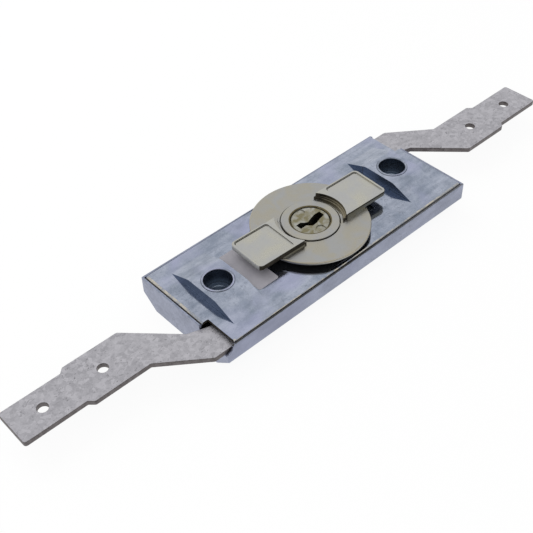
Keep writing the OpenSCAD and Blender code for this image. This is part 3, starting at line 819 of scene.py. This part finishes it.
def build_tray():
    """The tray with its folds and rims rounded, and painted shade along its seam with the cover."""
    mesh = merged_copy("case_back")
    shape_wall_ends(mesh)
    half_x, half_y = TRAY_HALF
    clean, worn, seam = range(3)

    def rim(p, inset):
        return abs(p.z - TRAY_TOP) < 0.05 and (abs(abs(p.x) - half_x + inset) < 0.05
                                               or abs(abs(p.y) - half_y + inset) < 0.05)

    def fold(p):
        if abs(p.x) > half_x - 0.1:
            return 0 < p.z < TRAY_TOP - 0.1
        low = p.z < SLACK and abs(abs(p.y) - TRAY_FLAT_HALF) < 0.3
        high = abs(p.z - SHOULDER_TOP) < 0.1 and abs(p.y) > half_y - 0.1
        return abs(p.x) < half_x - 0.1 and (low or high)

    round_off(mesh, creases(mesh, 40, lambda p: rim(p, 0.0)), 0.5 * MM, 4, worn)
    round_off(mesh, creases(mesh, 40, lambda p: rim(p, 1.0)), 0.4 * MM, 1, seam)
    for face in mesh.faces:
        # On the rim's top, the near side and the left end's inner edge get painted shade, the rest
        # of the left end the lighter worn finish as a painted highlight, and the far sides stay
        # clean
        middle = face.calc_center_median() / MM
        if middle.z > TRAY_TOP - 0.5 and face.normal.z > 0.6:
            near, end = middle.y < 1 - half_y, middle.x < 1.2 - half_x
            dark = near or end and face.material_index == seam
            face.material_index = seam if dark else worn if end else clean
    round_off(mesh, creases(mesh, 20, fold), 0.5 * MM, 4, clean)
    round_off(mesh, creases(mesh, 40), 0.12 * MM, 2, clean)
    finishes = ["tray", "tray_edge", "seam"]
    return as_piece(mesh, "tray", "case", finishes, ["case_back"])


def wing_middle(place):
    """The middle of the wing that a point belongs to, at the point's height."""
    reach = WING_MIDDLE * MM * (1 if place.x > 0 else -1)
    return Vector((reach * cos(WING_TURN), reach * sin(WING_TURN), place.z))


def faces_out(normal, place):
    """Whether a wall of a wing looks away from the wing's middle."""
    return normal.dot(place - wing_middle(place)) > 0


def shift_hollow_ends(mesh):
    """Moves the hollow inner ends of the wings out along the wings, at the top and at the foot."""
    along = Vector((cos(WING_TURN), sin(WING_TURN), 0))
    for point in mesh.verts:
        side = 1 if point.co.x > 0 else -1
        reach, out = hypot(point.co.x, point.co.y) / MM, 0.0
        if abs(reach - HOLLOW_RADIUS) < 0.1 and point.co.z > 18.4 * MM:
            out = HOLLOW_OUT
        elif abs(reach - FOOT_RADIUS) < 0.05 and point.co.z > (DISC_TOP - SLACK) * MM:
            across = side * point.co.y / MM
            out = FOOT_OUT + CORNER_OUT * max(0.0, across - 4) / 5
        point.co += along * out * side * MM


def band_walls(mesh):
    """Cuts the outer walls of the wings where their painted shade starts."""
    walls = []
    for face in mesh.faces:
        place = face.calc_center_median()
        upright = abs(face.normal.y) > 0.5 and abs(face.normal.z) < 0.3
        if upright and place.z > DISC_TOP * MM and faces_out(face.normal, place):
            walls.append(face)
    for side, level in PAINTED_SHADE_FROM.items():
        part = [f for f in walls if f.is_valid and f.calc_center_median().x * side > 0]
        part = cut_across(mesh, part, (side * PAINTED_SHADE_END * MM, 0, 0), (1, 0, 0))
        cut_across(mesh, part, (0, 0, level * MM), (0, 0, 1))


def disc_finish(face):
    """The name of the finish of a face of the disc, by its place and the way it looks."""
    place, flat = face.calc_center_median(), abs(face.normal.z)
    middle, out = place / MM, faces_out(face.normal, place)
    right, reach = middle.x > 0, hypot(middle.x, middle.y)
    # Above this height a wing's outer side wall gets painted shade
    dark = middle.z > PAINTED_SHADE_FROM[1 if right else -1]
    if middle.z > WING_TOP - 0.7 and flat > 0.3:
        return "grip"
    # Walls of the recesses: painted shade, and a painted highlight on the right wing's end walls
    if middle.z > WING_TOP - 0.5 and not out:
        return "warm" if right and abs(face.normal.x) > 0.7 else "painted_shade"
    # Outer side walls: painted shade above the band's height and near the hub
    if middle.z > DISC_TOP + 0.05 and out and abs(face.normal.y) > 0.8:
        return "painted_shade" if dark or abs(middle.x) < PAINTED_SHADE_END else "wall"
    # Hollow inner ends: painted shade at their corners, and a painted shade gradient on the right
    # wing
    if middle.z > DISC_TOP and reach < HOLLOW_END:
        beside = (place.y - wing_middle(place).y) / MM
        corner = beside < -HOLLOW_HALF or beside > HOLLOW_HALF and right
        return "painted_shade" if corner else "hollow" if right else "nickel"
    # Other outer walls: side walls with painted shade as above, tip walls with their painted shade
    # and highlight
    if middle.z > DISC_TOP + 0.05 and out:
        if abs(face.normal.y) > 0.5:
            return "painted_shade" if dark else "wall"
        return "tip"
    # The disc's rounded rim: painted highlight
    return "warm" if reach > 23.4 and 0.3 < flat < 0.95 else "nickel"


def build_disc(disc):
    """The turning disc with its two hollow-ended, recessed grip wings."""
    mesh = merged_copy("turn_disc")
    shift_hollow_ends(mesh)

    def outer(edge):
        place = (edge.verts[0].co + edge.verts[1].co) / 2
        wall = min(edge.link_faces, key=lambda f: abs(f.normal.z))
        return faces_out(wall.normal, place) and hypot(place.x, place.y) > HOLLOW_END * MM

    def off_foot(p):
        return abs(p.z - DISC_TOP) > SLACK or not 12.3 < hypot(p.x, p.y) < 23.5

    low = creases(mesh, 35, lambda p: DISC_TOP + 0.1 < p.z < WING_TOP - 0.7)
    high = creases(mesh, 35, lambda p: p.z > WING_TOP - SLACK)
    round_off(mesh, [e for e in high if outer(e)] + low, disc.edge_round, 3)
    round_off(mesh, creases(mesh, 45, lambda p: p.z > WING_TOP - 0.7), 0.1 * MM, 2)
    round_off(mesh, creases(mesh, 45, off_foot), 0.1 * MM, 1)

    band_walls(mesh)
    floors = [f for f in mesh.faces if f.normal.z > 0.99 and f.calc_area() > 100 * MM**2
              and abs(f.calc_center_median().z / MM - RECESS_FLOOR) < 0.05]
    strips = bmesh.ops.inset_individual(mesh, faces=floors, thickness=0.42 * MM,
                                        use_even_offset=True)["faces"]
    finishes = ["nickel", "grip", "painted_shade", "wall", "tip", "hollow", "warm"]
    for face in mesh.faces:
        face.material_index = finishes.index(disc_finish(face))
    # The far side of each recess floor's edge strip: painted shade
    for face in strips:
        place = face.calc_center_median()
        if place.y - wing_middle(place).y > RECESS_SIDE * MM:
            face.material_index = finishes.index("painted_shade")
    return as_piece(mesh, "disc", "disc", finishes, ["turn_disc"])


def build_cylinder():
    """The key cylinder, with a dark chamfer round the plug."""
    mesh = merged_copy("cylinder_body")
    mouth = creases(mesh, 35, lambda p: p.z > FLANGE_TOP - SLACK and hypot(p.x, p.y) < 9)
    round_off(mesh, mouth, 0.35 * MM, 2, 1)
    round_off(mesh, creases(mesh), 0.12 * MM, 2)
    for face in mesh.faces:
        middle = face.calc_center_median() / MM
        if FLANGE_TOP - 0.6 < middle.z < FLANGE_TOP - 0.03 and hypot(middle.x, middle.y) < 8.6:
            face.material_index = 1
    return as_piece(mesh, "cylinder", "case", ["ring", "dark_mouth"], ["cylinder_body"])


def build_arm(side, width):
    """An arm with rounded edges and duller, darker cut sides."""
    mesh = merged_copy(f"{side}_arm")
    round_off(mesh, creases(mesh), width, 3)
    for face in mesh.faces:
        if abs(face.normal.z) < 0.8:
            face.material_index = 1
    name = f"arm_{side}"
    return as_piece(mesh, name, name, ["arm", "arm_side"], [f"{side}_arm"])


# Stage


def add_camera(scene, stage):
    """The camera at the photograph's place."""
    data = bpy.data.cameras.new("camera")
    data.lens, data.sensor_width = stage.lens, 36.0
    data.clip_start, data.clip_end = 0.01, 10.0
    camera = bpy.data.objects.new("camera", data)
    scene.collection.objects.link(camera)
    place, target = Vector(stage.camera_place), Vector(stage.camera_target)
    aim = (target - place).to_track_quat("-Z", "Y").to_matrix().to_4x4()
    roll = Matrix.Rotation(stage.camera_roll, 4, "Z")
    camera.matrix_world = Matrix.Translation(place) @ aim @ roll
    scene.camera = camera


def add_lamp(name, place, size, power):
    """A square soft lamp that points at the lock."""
    data = bpy.data.lights.new(name, "AREA")
    data.shape, data.size, data.energy = "SQUARE", size, power
    lamp = bpy.data.objects.new(name, data)
    bpy.context.scene.collection.objects.link(lamp)
    lamp.visible_glossy = False
    aim = (-Vector(place)).to_track_quat("-Z", "Y").to_matrix().to_4x4()
    lamp.matrix_world = Matrix.Translation(place) @ aim


def seen_white(tree):
    """The light path, and 1 where a camera, glossy or transmission ray looks."""
    path = add(tree, "ShaderNodeLightPath").outputs
    white = maths(tree, "MAXIMUM", path["Is Camera Ray"], path["Is Glossy Ray"])
    return path, maths(tree, "MAXIMUM", white, path["Is Transmission Ray"])


def add_sky(scene, strength):
    """An even sky that is white to the camera and shades towards the horizon in reflections."""
    scene.world = bpy.data.worlds.new("sky")
    tree = empty_tree(scene.world)
    path, white = seen_white(tree)
    way = add(tree, "ShaderNodeTexCoord").outputs["Generated"]
    high = add(tree, "ShaderNodeVectorMath", operation="DOT_PRODUCT", V0=way, V1=(0.40, 0.45, 1.0))
    level = add(tree, "ShaderNodeMapRange", Value=high.outputs["Value"], From_Min=-0.45,
                From_Max=0.45, To_Min=0.2, To_Max=1.0, interpolation_type="SMOOTHSTEP")
    even, bright, shaded = (
        add(tree, "ShaderNodeBackground", Color=(1.0, 1.0, 1.0, 1.0), Strength=power).outputs[0]
        for power in (strength, 1.0, level.outputs[0]))
    seen = add(tree, "ShaderNodeMixShader", V0=white, V1=even, V2=bright).outputs[0]
    sky = add(tree, "ShaderNodeMixShader", V0=path["Is Glossy Ray"], V1=seen, V2=shaded).outputs[0]
    add(tree, "ShaderNodeOutputWorld", Surface=sky)


def add_floor():
    """A white floor that keeps a soft shadow."""
    mesh = bmesh.new()
    bmesh.ops.create_grid(mesh, x_segments=1, y_segments=1, size=4.0)
    bmesh.ops.translate(mesh, verts=mesh.verts, vec=(0, 0, -0.1 * MM))
    data = bpy.data.meshes.new("floor")
    mesh.to_mesh(data)
    mesh.free()
    material = bpy.data.materials.new("floor_white")
    tree = empty_tree(material)
    share = maths(tree, "MULTIPLY", seen_white(tree)[1], 0.9)
    matt = add(tree, "ShaderNodeBsdfDiffuse", Color=(0.85, 0.85, 0.85, 1.0)).outputs[0]
    glow = add(tree, "ShaderNodeEmission", Strength=1.02).outputs[0]
    mixed = add(tree, "ShaderNodeMixShader", V0=share, V1=matt, V2=glow).outputs[0]
    add(tree, "ShaderNodeOutputMaterial", Surface=mixed)
    data.materials.append(material)
    floor = bpy.data.objects.new("floor", data)
    bpy.context.scene.collection.objects.link(floor)


# Operators


class SHUTTERLOCK_OT_cover(bpy.types.Operator):
    """Builds the cover with its two raised bridges"""

    bl_idname = "shutter_lock.cover"
    bl_label = "Cover"

    def execute(self, context):
        build_cover(context.scene.shutter_lock.case)
        return {"FINISHED"}


class SHUTTERLOCK_OT_tray(bpy.types.Operator):
    """Builds the tray and the plate that the arms slide on"""

    bl_idname = "shutter_lock.tray"
    bl_label = "Tray and slide plate"

    def execute(self, context):
        build_tray()
        rounded_solid("slide_plate", "sliding_plate", "case", "inside", 0.1 * MM)
        rounded_solid("guide_studs", "studs", "case", "inside", 0.1 * MM)
        return {"FINISHED"}


class SHUTTERLOCK_OT_bushes(bpy.types.Operator):
    """Builds the two fixing bushes"""

    bl_idname = "shutter_lock.bushes"
    bl_label = "Fixing bushes"

    def execute(self, context):
        build_bush(-1, "bush_left", "fixing_bush_left")
        build_bush(1, "bush_right", "fixing_bush_right")
        return {"FINISHED"}


class SHUTTERLOCK_OT_shield(bpy.types.Operator):
    """Builds the black dust shield and the bare sticker"""

    bl_idname = "shutter_lock.shield"
    bl_label = "Dust shield and sticker"

    def execute(self, context):
        rounded_solid("dust_shield", "shield", "case", "shield", 0.1 * MM, 1)
        rounded_solid("sticker", "paper_sticker", "case", "sticker", 0.02 * MM, 1)
        return {"FINISHED"}


class SHUTTERLOCK_OT_disc(bpy.types.Operator):
    """Builds the turning disc with its drive pins"""

    bl_idname = "shutter_lock.disc"
    bl_label = "Turning disc"

    def execute(self, context):
        build_disc(context.scene.shutter_lock.disc)
        rounded_solid("drive_pin_left", "pin_left", "disc", "inside", 0.15 * MM)
        rounded_solid("drive_pin_right", "pin_right", "disc", "inside", 0.15 * MM)
        return {"FINISHED"}


class SHUTTERLOCK_OT_cylinder(bpy.types.Operator):
    """Builds the key cylinder, its plug and their small parts"""

    bl_idname = "shutter_lock.cylinder"
    bl_label = "Key cylinder"

    def execute(self, context):
        build_cylinder()
        rounded_solid("key_plug", "plug", "plug", "plug", 0.05 * MM, 1)
        rounded_solid("wafers", "plug_wafers", "plug", "brass", 0.05 * MM, 1)
        rounded_solid("plug_clip", "clip", "plug", "inside", 0.06 * MM, 1)
        rounded_solid("friction_washer", "washer", "case", "brass", 0.05 * MM, 1)
        rounded_solid("cylinder_screws", "foot_screws", "case", "inside",
                      0.06 * MM, 1)
        rounded_solid("locking_pin", "blocking_pin", "pin", "inside", 0.06 * MM, 1)
        return {"FINISHED"}


class SHUTTERLOCK_OT_arms(bpy.types.Operator):
    """Builds the two galvanised arms"""

    bl_idname = "shutter_lock.arms"
    bl_label = "Arms"

    def execute(self, context):
        width = context.scene.shutter_lock.arms.edge_round
        for side in ("left", "right"):
            build_arm(side, width)
        return {"FINISHED"}


class SHUTTERLOCK_OT_stage(bpy.types.Operator):
    """Sets up the floor, the lamps, the sky and the camera"""

    bl_idname = "shutter_lock.stage"
    bl_label = "Stage"

    def execute(self, context):
        scene, stage = context.scene, context.scene.shutter_lock.stage
        scene.view_settings.view_transform = "Standard"
        add_camera(scene, stage)
        add_lamp("key_lamp", (-0.10, 0.55, 0.60), 0.7, stage.key_power)
        add_lamp("fill_lamp", (-0.55, -0.25, 0.60), 0.6, stage.fill_power)
        add_sky(scene, stage.sky)
        add_floor()
        return {"FINISHED"}


STEPS = (SHUTTERLOCK_OT_cover, SHUTTERLOCK_OT_tray, SHUTTERLOCK_OT_bushes, SHUTTERLOCK_OT_shield,
         SHUTTERLOCK_OT_disc, SHUTTERLOCK_OT_cylinder, SHUTTERLOCK_OT_arms, SHUTTERLOCK_OT_stage)


class SHUTTERLOCK_PT_panel(bpy.types.Panel):
    """Lists the steps that build the lock."""

    bl_label = "Shutter lock"
    bl_space_type = "VIEW_3D"
    bl_region_type = "UI"
    bl_category = "Shutter lock"

    def draw(self, context):
        for step in STEPS:
            self.layout.operator(step.bl_idname)


CLASSES = (CaseSettings, DiscSettings, ArmSettings, StageSettings, LockSettings, *STEPS,
           SHUTTERLOCK_PT_panel)


def register():
    """Registers the classes and the settings."""
    for kind in CLASSES:
        bpy.utils.register_class(kind)
    bpy.types.Scene.shutter_lock = bpy.props.PointerProperty(type=LockSettings)


def unregister():
    """Takes the classes and the settings out again."""
    del bpy.types.Scene.shutter_lock
    for kind in reversed(CLASSES):
        bpy.utils.unregister_class(kind)


def main():
    """Builds the whole lock."""
    register()
    for step in STEPS:
        group, name = step.bl_idname.split(".")
        getattr(getattr(bpy.ops, group), name)()
    bpy.context.view_layer.update()


if __name__ == "__main__":
    main()
